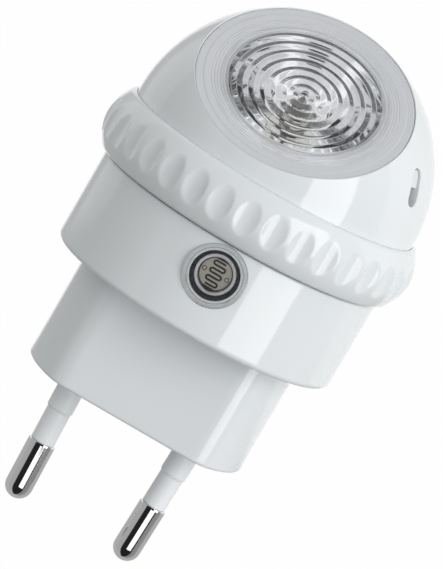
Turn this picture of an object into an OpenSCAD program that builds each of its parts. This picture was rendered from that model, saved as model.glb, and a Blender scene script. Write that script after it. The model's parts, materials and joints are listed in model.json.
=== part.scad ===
/* [Plug pins] */
// Diameter of the bare metal end of a pin
pin_d = 4; // [3.9:0.05:4.1]
// Length of a pin below the plug face
pin_len = 19.5; // [18.5:0.1:20]
// Length of the bare metal end
pin_bare = 9; // [8:0.1:10]
// Diameter of the metal shank inside its sleeve
shank_d = 2.6; // [2.2:0.1:2.8]
// Distance between the pin axes at the plug face
pin_gap_root = 18.5; // [18:0.1:19.2]
// Distance between the pin axes at the tips
pin_gap_tip = 17.3; // [17:0.1:18]
// Diameter of the slim part of the insulating sleeve
sleeve_d = 3.5; // [3.4:0.05:3.8]
// Diameter of the thicker root of the sleeve
sleeve_root_d = 3.85; // [3.8:0.05:4]
// Length of the thicker root below the plug face
sleeve_root_len = 5.2; // [3:0.1:7]

/* [Plug base] */
// Depth that each flat side cuts off the round of the base
flat_cut = 4.5; // [3.8:0.1:5.4]
// Radius of the corners between the flat and the round sides
base_corner_r = 4; // [3:0.1:5]
// Height of the plug base, from its face to the underside of the body
base_h = 16.4; // [15:0.1:18]
// Thickness of the plug face
base_floor_t = 2.4; // [2:0.1:3]
// Thickness of the housing walls
wall_t = 1.6; // [1.4:0.1:1.8]
// Thickness of the flange that holds the base in the body
flange_t = 1.6; // [1.2:0.1:2]
// Width of that flange, on the round sides of the base
flange_w = 2.05; // [1.8:0.05:2.4]

/* [Body] */
// How much smaller the body's radius is than the edge of the grip ring above it
body_step = 0.9; // [0.6:0.1:1.4]
// Height of the body's full width, from its underside to its shoulder
body_h = 13.6; // [13.2:0.1:16]
// Radius of the rounded lower edge of the body
body_edge_r = 0.8; // [0.6:0.1:1.8]
// Thickness of the body's floor
body_floor_t = 2; // [1.8:0.1:2.4]
// Height of the neck above the shoulder
neck_h = 3; // [2.8:0.1:3.4]
// Thickness of the deck that closes the neck
deck_t = 2; // [1.8:0.1:2.2]

/* [Light sensor] */
// Distance of the sensor's centre below the shoulder of the body
sensor_down = 4.6; // [4.6:0.1:5.2]
// Radius of the sensor window's flange
window_r = 4.4; // [4.2:0.05:4.5]
// Thickness of the sensor window's flange
window_t = 0.7; // [0.6:0.05:0.9]
// Depth of the flat seat of the sensor window
window_seat = 0.5; // [0.45:0.05:0.6]
// Diameter of the light-dependent resistor
ldr_d = 5.2; // [5:0.1:5.4]
// Thickness of the light-dependent resistor
ldr_t = 2; // [1.6:0.1:2.2]
// Depth of the resistor's face below the window's flange
ldr_depth = 1.6; // [1.2:0.1:1.8]

/* [Turning head] */
// Radius of the round head
head_r = 21.8; // [21.6:0.1:22]
// Wall of the round head
head_wall = 1.8; // [1.6:0.1:2]
// Height of the head's centre above its lower edge
head_skirt = 1.6; // [1.4:0.1:2]
// Turn of the head away from the sensor side, as it stands
rest_turn = 10.4; // [-20:0.1:20]
// Angle that each stop lug covers
stop_angle = 10; // [6:1:16]
// Radius of the hub that the head turns on
hub_r = 8.9; // [8.7:0.1:9.2]
// Thickness of the carrier's disc
disc_t = 2; // [1.8:0.1:2.2]
// Thickness of the friction washer
friction_t = 0.55; // [0.45:0.05:0.7]

/* [Grip ring] */
// Width of the ring's upper edge, beside the head
ring_lip = 0.6; // [0.5:0.05:0.8]
// Bulge of the ring's barrel beyond its edges
ring_bulge = 1.6; // [1.3:0.05:2]
// How far the ring covers the lower edge of the head
ring_cover = 1.15; // [1:0.05:1.5]
// Thickness of the ledge inside the ring
ledge_t = 2.4; // [2.2:0.1:2.6]
// Number of scoops round the ring
scoop_n = 36; // [30:1:40]
// Radius of the round cutter that a scoop follows
scoop_r = 3.2; // [2.8:0.1:3.6]
// Depth of a scoop
scoop_depth = 0.55; // [0.4:0.05:0.6]

/* [Lens] */
// Angle between the lens axis and the plug axis
lens_tilt = 38.6; // [34:0.2:42]
// Half angle of the cap that the lens takes off the round head
lens_cap = 44.8; // [43:0.1:45.2]
// Thickness of the lens at its rim
lens_t = 1.8; // [1.6:0.1:2]
// Width of the plain rim round the ribbed field
lens_rim = 2.76; // [2.4:0.02:3.4]
// Number of ring-shaped ribs
rib_n = 8; // [6:1:10]
// Height of a rib
rib_h = 0.45; // [0.3:0.05:0.55]

/* [Catch windows] */
// Width of a catch window in the head
catch_w = 2.4; // [2.4:0.1:3]
// Height of a catch window in the head
catch_h = 5.3; // [4.8:0.1:5.6]
// Angle of the first catch window round from the lens side
catch_turn = 71.8; // [66:0.2:90]
// Angle of the catch windows above the head's centre
catch_rise = 22; // [20:0.5:24]

/* [Lamp and electronics] */
// Diameter of the light-emitting diode
led_d = 5; // [4.8:0.1:5]
// Radius of the diode's board
led_board_r = 8.5; // [8.2:0.1:8.8]
// Depth of the diode's board below the lens
lamp_depth = 8.2; // [8:0.1:8.6]
// Thickness of both circuit boards
board_t = 1.6; // [1.2:0.1:1.6]
// Length of the film capacitor
film_len = 13; // [10:0.5:14]
// Width of the film capacitor
film_w = 6; // [5:0.5:7]
// Height of the film capacitor
film_h = 10; // [8:0.5:11]
// Diameter of the electrolytic capacitor
electrolytic_d = 8; // [6.3:0.1:8.4]
// Length of the electrolytic capacitor
electrolytic_len = 11; // [9:0.5:12]
// Diameter of the lamp cable
cable_d = 2.4; // [2:0.1:2.8]

/* [Clearances] */
// Gap between pieces that fit into each other
fit_gap = 0.1; // [0.05:0.01:0.12]
// Gap between the turning head and the body
turn_gap = 0.25; // [0.2:0.05:0.3]
// Gap of the running fits and of pieces nested round one axis
run_gap = 0.05; // [0.04:0.01:0.06]

/* [Hidden] */
$fn = 96;
// How far a cutter runs past the faces that it cuts
cut = 1;

// Heights above the plug face, from the body's floor to the head's centre
floor_top = base_h + body_floor_t;
board_z = floor_top + flange_t;
board_top = board_z + board_t;
shoulder_z = base_h + body_h;
sensor_z = shoulder_z - sensor_down;
deck_top = shoulder_z + neck_h;
deck_z = deck_top - deck_t;
disc_z = deck_top + friction_t + run_gap;
disc_top = disc_z + disc_t;
dome_z = disc_top + ledge_t;
head_z = dome_z + head_skirt;
ring_z = shoulder_z + turn_gap;
ring_h = dome_z - ring_z + ring_cover;
ring_mid_z = ring_z + ring_h / 2;

// Radii that follow from their neighbours, from the head to the ring, the body and the base
ring_wall = 1.5;
ledge_w = 2.2;
ring_edge_r = head_r + ring_lip;
ring_r = ring_edge_r + ring_bulge;
body_r = ring_edge_r - body_step;
ring_bore_r = ring_edge_r - ring_wall;
neck_r = ring_bore_r - turn_gap - fit_gap;
cavity_r = neck_r - wall_t;
flange_r = cavity_r - fit_gap;
board_r = flange_r - fit_gap;
base_r = flange_r - flange_w;
base_flat_y = base_r - flat_cut;
disc_r = ring_bore_r - fit_gap;
ledge_r = disc_r - ledge_w;
hub_wall = 3.5;
hub_bore_r = hub_r + run_gap;
hub_z = deck_z - fit_gap;

// The pins lean towards each other, and a flange and a rivet head hold each at its root
pin_r = pin_d / 2;
pin_lean = atan((pin_gap_root - pin_gap_tip) / 2 / pin_len);
head_lip = 1;
head_t = 1;
sleeve_flange_r = sleeve_root_d / 2 + head_lip;
rivet_r = shank_d / 2 + head_lip;
rivet_top = base_floor_t + 2 * head_t;

// Contact strips between the pins and the circuit board
strip_t = 0.5;
strip_w = 3;
strip_z = rivet_top + rivet_r * sin(pin_lean) + fit_gap;
strip_x = pin_gap_root / 2 + sleeve_flange_r + strip_t;

// Two sizes of screw: head radius, head height and shank radius
screw_head_r = 1.8;
screw_head_h = 1.2;
screw_r = 1;
small_head_r = 1.3;
small_head_h = 0.9;
small_r = 0.7;

// Board screws, beside the flats of the base, in blind holes of the body's floor
blind_skin = 0.4;
board_screw_at = cavity_r - screw_head_r - 2 * fit_gap;
board_screw_y = base_flat_y + screw_r + wall_t;
board_screw_x = sqrt(pow(board_screw_at, 2) - pow(board_screw_y, 2));
board_screw_len = board_t + flange_t + body_floor_t - blind_skin - fit_gap;

// Hub screws and the retaining washer under the deck
hub_screw_n = 3;
hub_screw_at = hub_r - hub_wall / 2;
hub_screw_len = 5;
washer_t = 1.4;
washer_lip = 3.2;
washer_z = hub_z - washer_t;

// Groove of the turn stop and the friction washer, from the neck inwards
groove_rim = 1.8;
groove_w = 2.2;
groove_depth = 1;
groove_out_r = neck_r - groove_rim;
groove_in_r = groove_out_r - groove_w;
lug_gap = 0.2;
friction_rim = 0.6;
friction_step = 1.4;
friction_out_r = groove_in_r - friction_rim;
friction_in_r = hub_bore_r + friction_step;

// Pieces of the light sensor, one inside the other
collar_wall = 0.3;
collar_rim = 0.8;
gasket_wall = 0.4;
barrel_wall = 0.35;
collar_in_r = ldr_d / 2 + run_gap;
collar_r = collar_in_r + collar_wall;
gasket_in_r = collar_r + run_gap;
gasket_r = gasket_in_r + gasket_wall;
barrel_in_r = gasket_r + run_gap;
barrel_r = barrel_in_r + barrel_wall;
window_y = body_r - window_seat;
barrel_len = window_y - cavity_r;
ldr_y = window_y - ldr_depth;
ldr_back = ldr_y - ldr_t;
lead_r = 0.25;
lead_gap = 3.4;
lead_back = 1.2;
board_flat_gap = 0.3;
board_flat_y = ldr_back - board_flat_gap;

// Lens, its seat in the head, the reflector and the diode, along the lens axis
lens_sunk = 0.25;
lens_edge = 0.3;
lens_r = head_r * sin(lens_cap);
lens_front = head_r * cos(lens_cap) - lens_sunk;
lens_back = lens_front - lens_t;
rib_field_r = lens_r - lens_rim;
pocket_r = lens_r + fit_gap;
seat_t = 1.2;
seat_w = 1.5;
seat_root = 0.6;
seat_in_r = lens_r - seat_w;
seat_out_r = lens_r + seat_root;
reflector_r = seat_in_r - fit_gap;
reflector_t = 0.8;
reflector_band = 2;
led_board_top = lens_back - lamp_depth;
led_board_h = led_board_top - board_t;
led_lip = 0.4;
led_flange_r = led_d / 2 + led_lip;
led_flange_t = 1;
led_straight = 2.4;
reflector_hole_r = led_flange_r + fit_gap;
post_r = led_board_r - fit_gap;
post_wall = 2.9;
small_screw_at = post_r - post_wall / 2;
small_screw_bite = 3;
small_screw_len = board_t + small_screw_bite;

// Catch tongues of the carrier, which hook into the windows
tongue_play = 0.5;
tongue_w = catch_w - tongue_play;
tongue_t = 1.6;
hook_sunk = 0.5;
hook_len = 5;
hook_reach = head_r - hook_sunk;
hook_root = head_r - head_wall - hook_len;
tongue_r = hook_root * cos(catch_rise) - tongue_t;
tongue_top = head_z + hook_root * sin(catch_rise) + catch_h / 2 * cos(catch_rise);

// Lamp cable on the turning axis, from its header on the board to the bend under the diode
header_l = 5;
header_w = 4.6;
header_h = 3.4;
cable_gap = 0.3;
cable_r = cable_d / 2;
cable_foot = board_top + header_h + cable_gap;
cable_bend_down = 1.5;
cable_bend_z = head_z - cable_bend_down;

// Components on both sides of the circuit board, placed from its centre, its edge or the base's wall
film_y = 1.5;
can_gap = 1.7;
electrolytic_y = wall_t + can_gap + electrolytic_d / 2 - base_flat_y;
bridge_edge = 5.75;
bridge_x = bridge_edge - board_r;
bridge_y = -9;
bridge_l = 8.4;
bridge_w = 6.4;
bridge_h = 3.2;
resistor_n = 3;
resistor_x = -1.5;
resistor_edge = 4.25;
resistor_y = resistor_edge - board_r;
resistor_step = 3.4;
resistor_l = 6.4;
resistor_d = 2.4;
transistor_edge = 7.75;
transistor_x = board_r - transistor_edge;
transistor_y = 4;
transistor_r = 2.4;
transistor_flat = 1.4;
transistor_h = 4.8;

// Points of an arc, from angle a to angle b, with or without its end point
function arc(x, y, r, a, b, n, last) =
    [for (i = [0:(last ? n : n - 1)]) [x + r * cos(a + (b - a) * i / n), y + r * sin(a + (b - a) * i / n)]];

// Outline of the plug base: a circle with two flats and rounded corners, drawn in by inset
function plug_outline(inset) =
    let (r = base_r - inset, c = base_corner_r - inset)
    let (y = base_flat_y - base_corner_r, x = sqrt(pow(base_r - base_corner_r, 2) - y * y))
    let (a = atan2(y, x))
    concat(
        arc(0, 0, r, -a, a, 20, false),
        arc(x, y, c, a, 90, 8, true),
        arc(-x, y, c, 90, 180 - a, 8, false),
        arc(0, 0, r, 180 - a, 180 + a, 20, false),
        arc(-x, -y, c, 180 + a, 270, 8, true),
        arc(x, -y, c, 270, 360 - a, 8, false));

// The plug axis lies along Y, the pins point along +Y and the sensor faces up
module in_socket() {
    rotate([90, 0, 0]) children();
}

// Places a piece of the turning head at the angle it stands at
module head_pose() {
    in_socket() rotate([0, 0, -rest_turn]) children();
}

// Axis of pin 1 or pin -1, with its origin in the plug face
module on_pin(side) {
    translate([side * pin_gap_root / 2, 0, 0]) rotate([0, side * pin_lean, 0]) children();
}

// Axis of the light sensor, pointing out of the body
module on_sensor() {
    translate([0, 0, sensor_z]) rotate([-90, 0, 0]) children();
}

// Axis of the lens, from the head's centre outwards
module on_lens() {
    translate([0, 0, head_z]) rotate([-lens_tilt, 0, 0]) children();
}

// Axis of a catch window, from the head's centre outwards
module on_catch() {
    translate([0, 0, head_z]) rotate([catch_rise - 90, 0, 0]) children();
}

// Both board screws, at height z
module at_board_screws(z) {
    for (side = [-1, 1]) translate([side * board_screw_x, side * board_screw_y, z]) children();
}

// The hub screws, at height z
module at_hub_screws(z) {
    for (i = [0:hub_screw_n - 1]) rotate([0, 0, i * 360 / hub_screw_n])
        translate([hub_screw_at, 0, z]) children();
}

// Both screws of the diode's board, at height h along the lens axis
module at_small_screws(h) {
    on_lens() for (side = [-1, 1]) translate([side * small_screw_at, 0, h]) children();
}

// Both catch windows, opposite each other
module at_catches() {
    for (turn = [catch_turn, catch_turn + 180]) rotate([0, 0, turn]) children();
}

// A tube from height z up, between two radii
module tube(r_out, r_in, z, h) {
    translate([0, 0, z]) difference() {
        cylinder(r = r_out, h = h);
        translate([0, 0, -cut]) cylinder(r = r_in, h = h + 2 * cut);
    }
}

// A sector of a tube, centred on the +Y side
module tube_sector(r_out, r_in, z, h, angle) {
    translate([0, 0, z]) rotate([0, 0, 90 - angle / 2]) rotate_extrude(angle = angle)
        translate([r_in, 0]) square([r_out - r_in, h]);
}

// An upright slot with round ends
module slot(w, h) {
    for (end = [-1, 1]) translate([0, end * (h - w) / 2]) circle(d = w);
    square([w, h - w], center = true);
}

// A screw whose head stands on z = 0 and whose shank goes down
module screw(head_r, head_h, r, len) {
    cylinder(r = head_r, h = head_h);
    translate([0, 0, -len]) cylinder(r = r, h = len + head_h / 2);
}

// Keeps a piece on the +X side, or mirrors it to the -X side
module on_side(side) {
    if (side > 0) children();
    else mirror([1, 0, 0]) children();
}

// A pin: bare end with a round tip, slim shank, and rivet head above the plug face
module one_pin(side) {
    color("silver") in_socket() on_pin(side) rotate_extrude() {
        intersection() {
            translate([0, pin_r - pin_len]) circle(r = pin_r);
            translate([0, -pin_len]) square([pin_r, pin_r]);
        }
        translate([0, pin_r - pin_len]) square([pin_r, pin_bare - pin_r]);
        translate([0, pin_bare - pin_len]) square([shank_d / 2, pin_len - pin_bare + rivet_top]);
        translate([0, rivet_top - head_t]) square([rivet_r, head_t]);
    }
}

// A sleeve: slim part, thicker root through the plug face, and flange inside
module one_sleeve(side) {
    color("white") in_socket() on_pin(side) difference() {
        union() {
            translate([0, 0, pin_bare - pin_len]) cylinder(d = sleeve_d, h = pin_len - pin_bare);
            translate([0, 0, -sleeve_root_len])
                cylinder(d = sleeve_root_d, h = sleeve_root_len + base_floor_t);
            translate([0, 0, base_floor_t]) cylinder(r = sleeve_flange_r, h = head_t);
        }
        translate([0, 0, -pin_len]) cylinder(r = shank_d / 2 + run_gap, h = 2 * pin_len);
    }
}

// A contact strip: a plate over the pin's rivet head, and a leg up to the circuit board
module one_contact(side) {
    plate_x = pin_gap_root / 2 - rivet_r;
    color("goldenrod") in_socket() on_side(side) {
        translate([plate_x, -strip_w / 2, strip_z]) cube([strip_x - plate_x, strip_w, strip_t]);
        translate([strip_x - strip_t, -strip_w / 2, strip_z])
            cube([strip_t, strip_w, board_z - strip_z]);
    }
}

// The plug base: a hollow block with a flange at its open end
module plug_base() {
    color("white") in_socket() difference() {
        union() {
            linear_extrude(height = board_z) polygon(plug_outline(0));
            translate([0, 0, floor_top]) cylinder(r = flange_r, h = flange_t);
        }
        translate([0, 0, base_floor_t]) linear_extrude(height = board_z) polygon(plug_outline(wall_t));
        for (side = [-1, 1]) on_pin(side) {
            translate([0, 0, -cut]) cylinder(r = sleeve_root_d / 2 + fit_gap, h = base_floor_t + 2 * cut);
            translate([0, 0, base_floor_t - run_gap]) cylinder(r = sleeve_flange_r + fit_gap, h = head_t);
        }
        at_board_screws(floor_top - cut) cylinder(r = screw_r + run_gap, h = flange_t + 2 * cut);
    }
}

// Half section of the body with its neck
module body_profile() {
    translate([0, base_h + body_edge_r]) square([body_r, body_h - body_edge_r]);
    translate([0, base_h]) square([body_r - body_edge_r, body_h]);
    translate([body_r - body_edge_r, base_h + body_edge_r]) circle(r = body_edge_r);
    translate([0, shoulder_z - cut]) square([neck_r, neck_h + cut]);
}

// The body: a can with a hole for the base, a deck with the hub's bore and the groove
// that the turn stop interrupts, and a seat for the light sensor
module body_shell() {
    color("white") in_socket() difference() {
        rotate_extrude() body_profile();
        translate([0, 0, floor_top]) cylinder(r = cavity_r, h = deck_z - floor_top);
        translate([0, 0, base_h - cut]) linear_extrude(height = body_floor_t + 2 * cut)
            polygon(plug_outline(-fit_gap));
        translate([0, 0, deck_z - cut]) cylinder(r = hub_bore_r, h = deck_t + 2 * cut);
        difference() {
            tube(groove_out_r, groove_in_r, deck_top - groove_depth, groove_depth + cut);
            rotate([0, 0, 180]) tube_sector(groove_out_r + cut, groove_in_r - cut,
                deck_top - groove_depth - cut, groove_depth + 3 * cut, stop_angle);
        }
        on_sensor() {
            translate([0, 0, window_y]) cylinder(r = window_r + fit_gap, h = window_seat + cut);
            translate([0, 0, cavity_r - cut]) cylinder(r = barrel_r + run_gap, h = body_r);
        }
        at_board_screws(base_h + blind_skin) cylinder(r = screw_r + run_gap, h = body_floor_t);
    }
}

// A round board with one flat edge, behind the light sensor
module circuit_board() {
    color("darkgreen") in_socket() difference() {
        translate([0, 0, board_z]) cylinder(r = board_r, h = board_t);
        translate([-board_r, board_flat_y, board_z - cut]) cube([2 * board_r, board_r, board_t + 2 * cut]);
        at_board_screws(board_z - cut) cylinder(r = screw_r + fit_gap, h = board_t + 2 * cut);
    }
}

module board_screws() {
    color("silver") in_socket() at_board_screws(board_top)
        screw(screw_head_r, screw_head_h, screw_r, board_screw_len);
}

module film_capacitor() {
    color("gold") in_socket()
        translate([-film_len / 2, film_y, board_z - film_h]) cube([film_len, film_w, film_h]);
}

module electrolytic_capacitor() {
    r = electrolytic_d / 2;
    color("midnightblue") in_socket() translate([-electrolytic_len / 2, electrolytic_y, board_z - r])
        rotate([0, 90, 0]) cylinder(r = r, h = electrolytic_len);
}

module bridge_rectifier() {
    color("dimgray") in_socket()
        translate([bridge_x, bridge_y, board_top]) cube([bridge_l, bridge_w, bridge_h]);
}

module resistors() {
    color("tan") in_socket() for (i = [0:resistor_n - 1])
        translate([resistor_x, resistor_y + resistor_step * i, board_top + resistor_d / 2])
            rotate([0, 90, 0]) cylinder(d = resistor_d, h = resistor_l);
}

// A round case with one flat side
module transistor() {
    color("dimgray") in_socket() translate([transistor_x, transistor_y, board_top]) intersection() {
        cylinder(r = transistor_r, h = transistor_h);
        translate([-transistor_r, -transistor_r, 0])
            cube([transistor_r + transistor_flat, 2 * transistor_r, transistor_h]);
    }
}

module cable_header() {
    color("ivory") in_socket()
        translate([-header_l / 2, -header_w / 2, board_top]) cube([header_l, header_w, header_h]);
}

module light_sensor() {
    color("tan") in_socket() on_sensor() translate([0, 0, ldr_back]) cylinder(d = ldr_d, h = ldr_t);
}

// Two leads: back from the light sensor, then down to the circuit board
module sensor_leads() {
    bend_y = ldr_back - lead_back;
    color("silver") in_socket() for (side = [-1, 1]) translate([side * lead_gap / 2, 0, 0]) {
        on_sensor() translate([0, 0, bend_y]) cylinder(r = lead_r, h = lead_back);
        translate([0, bend_y, sensor_z]) sphere(r = lead_r);
        translate([0, bend_y, board_top]) cylinder(r = lead_r, h = sensor_z - board_top);
    }
}

module sensor_collar() {
    color("gray") in_socket() on_sensor() tube(collar_r, collar_in_r, ldr_back, ldr_t + collar_rim);
}

module sensor_gasket() {
    color("black") in_socket() on_sensor() tube(gasket_r, gasket_in_r, cavity_r, barrel_len - fit_gap);
}

// A clear cap: flange on the body, barrel through its wall
module sensor_window() {
    color("whitesmoke") in_socket() on_sensor() {
        translate([0, 0, window_y]) cylinder(r = window_r, h = window_t);
        tube(barrel_r, barrel_in_r, cavity_r, barrel_len + window_t / 2);
    }
}

module friction_washer() {
    color("dimgray") in_socket() tube(friction_out_r, friction_in_r, deck_top, friction_t);
}

// One catch tongue: an upright strip with a hook that fills the upper half of its window
module catch_tongue() {
    translate([-tongue_w / 2, tongue_r, disc_top - disc_t / 2])
        cube([tongue_w, tongue_t, tongue_top - disc_top + disc_t / 2]);
    intersection() {
        on_catch() linear_extrude(height = hook_reach) intersection() {
            slot(tongue_w, catch_h - tongue_play);
            translate([-catch_w, -catch_h]) square([2 * catch_w, catch_h]);
        }
        translate([-tongue_w, tongue_r, head_z - head_r]) cube([2 * tongue_w, head_r, 2 * head_r]);
    }
}

// What lies in the post, along the lens axis, above the carrier's disc
module in_post(r, top) {
    intersection() {
        on_lens() translate([0, 0, -head_r]) cylinder(r = r, h = head_r + top);
        translate([0, 0, disc_z + disc_t / 2]) cylinder(r = disc_r, h = head_r);
    }
}

// The head's carrier: disc, hub through the deck, stop lug, lamp post and catch tongues
module head_carrier() {
    color("white") head_pose() difference() {
        union() {
            translate([0, 0, disc_z]) cylinder(r = disc_r, h = disc_t);
            translate([0, 0, hub_z]) cylinder(r = hub_r, h = disc_z - hub_z + disc_t / 2);
            tube_sector(groove_out_r - lug_gap, groove_in_r + lug_gap, deck_top - groove_depth + lug_gap,
                disc_z - deck_top + groove_depth - lug_gap + disc_t / 2, stop_angle);
            in_post(post_r, led_board_h);
            at_catches() catch_tongue();
        }
        translate([0, 0, hub_z - cut]) cylinder(r = hub_r - hub_wall, h = disc_top - hub_z + cut);
        in_post(post_r - post_wall, led_board_h + cut);
        at_hub_screws(hub_z - cut) cylinder(r = screw_r + run_gap, h = hub_screw_len + cut);
        at_small_screws(led_board_top - small_screw_len) cylinder(r = small_r + run_gap, h = small_screw_len);
    }
}

module retaining_washer() {
    color("silver") head_pose() difference() {
        tube(hub_r + washer_lip, hub_r - hub_wall + fit_gap, washer_z, washer_t);
        at_hub_screws(washer_z - cut) cylinder(r = screw_r + run_gap, h = washer_t + 2 * cut);
    }
}

module hub_screws() {
    color("silver") head_pose() at_hub_screws(washer_z) mirror([0, 0, 1])
        screw(screw_head_r, screw_head_h, screw_r, hub_screw_len);
}

// Half section of the grip ring: a barrel outside, a ledge inside
module ring_profile() {
    barrel = (pow(ring_h / 2, 2) + pow(ring_bulge, 2)) / (2 * ring_bulge);
    difference() {
        intersection() {
            translate([ring_r - barrel, ring_mid_z]) circle(r = barrel);
            translate([ledge_r, ring_z]) square([ring_r, ring_h]);
        }
        translate([0, ring_z - cut]) square([ring_bore_r, disc_top - ring_z + cut]);
        translate([0, dome_z]) square([head_r + fit_gap, ring_h]);
    }
}

module grip_ring() {
    color("white") head_pose() difference() {
        rotate_extrude() ring_profile();
        for (i = [0:scoop_n - 1]) rotate([0, 0, i * 360 / scoop_n])
            translate([ring_r + scoop_r - scoop_depth, 0, ring_z - cut])
                cylinder(r = scoop_r, h = ring_h + 2 * cut);
    }
}

// The round head: a hollow ball, cut off below and for the lens, with the lens's seat
module head_dome() {
    color("white") head_pose() difference() {
        union() {
            translate([0, 0, head_z]) difference() {
                sphere(r = head_r);
                sphere(r = head_r - head_wall);
            }
            on_lens() tube(seat_out_r, seat_in_r, lens_back - seat_t, seat_t);
        }
        translate([0, 0, dome_z - head_r]) cylinder(r = head_r + cut, h = head_r);
        on_lens() {
            translate([0, 0, lens_back]) cylinder(r = pocket_r, h = head_r);
            cylinder(r = seat_in_r, h = head_r);
        }
        at_catches() on_catch() translate([0, 0, head_r - 2 * head_wall])
            linear_extrude(height = 3 * head_wall) slot(catch_w, catch_h);
    }
}

// The lens: a smooth front, and ring-shaped ribs cut into its back inside a flat rim
module lens() {
    pitch = rib_field_r / rib_n;
    ribs = [for (i = [0:rib_n - 1]) for (p = [[i, rib_h], [i + 0.5, 0]])
        [p[0] * pitch, lens_back + p[1]]];
    rim = [[rib_field_r, lens_back + rib_h], [rib_field_r, lens_back], [lens_r, lens_back],
        [lens_r, lens_front - lens_edge], [lens_r - lens_edge, lens_front], [0, lens_front]];
    color("aliceblue") head_pose() on_lens() rotate_extrude() polygon(concat(ribs, rim));
}

// A cone round the diode with a straight band under the lens
module reflector() {
    rim = lens_back - fit_gap;
    color("silver") head_pose() on_lens() rotate_extrude() polygon([
        [reflector_hole_r, led_board_top],
        [reflector_hole_r + reflector_t, led_board_top],
        [reflector_r, rim - reflector_band],
        [reflector_r, rim],
        [reflector_r - reflector_t, rim],
        [reflector_hole_r, led_board_top + reflector_t]]);
}

module led_board() {
    color("white") head_pose() difference() {
        on_lens() translate([0, 0, led_board_h]) cylinder(r = led_board_r, h = board_t);
        at_small_screws(0) cylinder(r = small_r + fit_gap, h = head_r);
    }
}

module led_board_screws() {
    color("silver") head_pose() at_small_screws(led_board_top)
        screw(small_head_r, small_head_h, small_r, small_screw_len - fit_gap);
}

// A round-topped case with a flange at its foot
module led() {
    top = led_board_top + led_flange_t + led_straight;
    color("lightyellow") head_pose() on_lens() rotate_extrude() {
        translate([0, led_board_top]) square([led_flange_r, led_flange_t]);
        translate([0, led_board_top]) square([led_d / 2, led_flange_t + led_straight]);
        intersection() {
            translate([0, top]) circle(d = led_d);
            translate([0, top]) square([led_d / 2, led_d / 2]);
        }
    }
}

// The lamp cable: up the turning axis, then along the lens axis to the diode's board
module led_cable() {
    color("dimgray") head_pose() {
        translate([0, 0, cable_foot]) cylinder(r = cable_r, h = cable_bend_z - cable_foot);
        translate([0, 0, cable_bend_z]) sphere(r = cable_r);
        intersection() {
            on_lens() translate([0, 0, -head_r]) cylinder(r = cable_r, h = head_r + led_board_h);
            translate([0, 0, cable_bend_z]) cylinder(r = head_r, h = head_r);
        }
    }
}

module pin_left() { one_pin(1); }
module pin_right() { one_pin(-1); }
module sleeve_left() { one_sleeve(1); }
module sleeve_right() { one_sleeve(-1); }
module contact_left() { one_contact(1); }
module contact_right() { one_contact(-1); }

plug_base();
pin_left();
pin_right();
sleeve_left();
sleeve_right();
contact_left();
contact_right();
body_shell();
circuit_board();
board_screws();
film_capacitor();
electrolytic_capacitor();
bridge_rectifier();
resistors();
transistor();
cable_header();
light_sensor();
sensor_leads();
sensor_collar();
sensor_gasket();
sensor_window();
friction_washer();
head_carrier();
retaining_washer();
hub_screws();
grip_ring();
head_dome();
lens();
reflector();
led_board();
led_board_screws();
led();
led_cable();
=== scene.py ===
"""Looks of the plug-in night light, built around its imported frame.

The plug axis lies along Y: the pins point along +Y, the head along -Y, and the light sensor
faces +Z. Pieces are drawn in millimetres, most of them with the plug axis as local Z, and then
placed in the frame.
"""

import json
import math

import bmesh
import bpy
from mathutils import Matrix, Vector


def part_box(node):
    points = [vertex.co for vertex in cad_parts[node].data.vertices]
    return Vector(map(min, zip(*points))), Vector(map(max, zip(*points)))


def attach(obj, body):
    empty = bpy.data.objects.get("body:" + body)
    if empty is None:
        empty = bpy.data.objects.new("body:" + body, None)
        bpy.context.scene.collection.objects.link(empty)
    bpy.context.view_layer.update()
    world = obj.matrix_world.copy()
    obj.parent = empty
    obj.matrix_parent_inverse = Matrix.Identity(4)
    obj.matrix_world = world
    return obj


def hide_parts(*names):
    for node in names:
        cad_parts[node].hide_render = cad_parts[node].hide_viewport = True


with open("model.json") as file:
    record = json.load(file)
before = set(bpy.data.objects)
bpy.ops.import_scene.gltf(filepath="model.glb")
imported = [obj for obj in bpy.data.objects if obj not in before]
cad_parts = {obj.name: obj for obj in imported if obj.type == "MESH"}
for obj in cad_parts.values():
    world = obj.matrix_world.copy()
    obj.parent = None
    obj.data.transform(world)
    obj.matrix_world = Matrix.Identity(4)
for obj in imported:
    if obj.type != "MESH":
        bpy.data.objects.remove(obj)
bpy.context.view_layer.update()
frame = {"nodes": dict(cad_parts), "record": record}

# ---------------------------------------------------------------- sizes, in millimetres

MM = 0.001
# A smaller radius than this lies on the axis
TINY = 1e-6
# Sides that are longer than LONG_SIDE get extra points, HOLD from their ends
HOLD = 0.12
LONG_SIDE = 6 * HOLD
# How far cutters reach past what they cut
CUT = 1.0
# Points round a full turn, and the angles up to which faces are shaded as one surface
ROUND_STEPS = 160
CAP_STEPS = 128
SENSOR_STEPS = 96
PIN_STEPS = 72
CUTTER_STEPS = 64
HOLE_STEPS = 24
CREASE = math.radians(32)
LENS_CREASE = math.radians(25)


def heights(node):
    """Lowest and highest height of a node above the plug face."""
    low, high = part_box(node)
    return -high.y / MM, -low.y / MM


def radius(node):
    """Half of a node's width from side to side."""
    low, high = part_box(node)
    return (high.x - low.x) / 2 / MM


BASE_TOP = heights("plug_base")[1]
FLANGE_R = radius("plug_base")
BODY_LOW, BODY_TOP = heights("body_shell")
BODY_R = radius("body_shell")
RING_LOW, RING_TOP = heights("grip_ring")
HEAD_LOW = heights("head_dome")[0]
HEAD_R = radius("head_dome")

# Plug base
BASE_R = 16.8
BASE_FLAT = 12.3
BASE_CORNER = 4.0
BASE_EDGE = 0.4
BASE_FLOOR = 2.4
WALL = 1.6
FLAT_STEPS = 13
SIDE_STEPS = 24
CORNER_STEPS = 10
# Gaps between pieces: fitted ones, close ones, and those that lie on their seat
FIT = 0.1
RUN = 0.05
SEATED = 0.03

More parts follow.
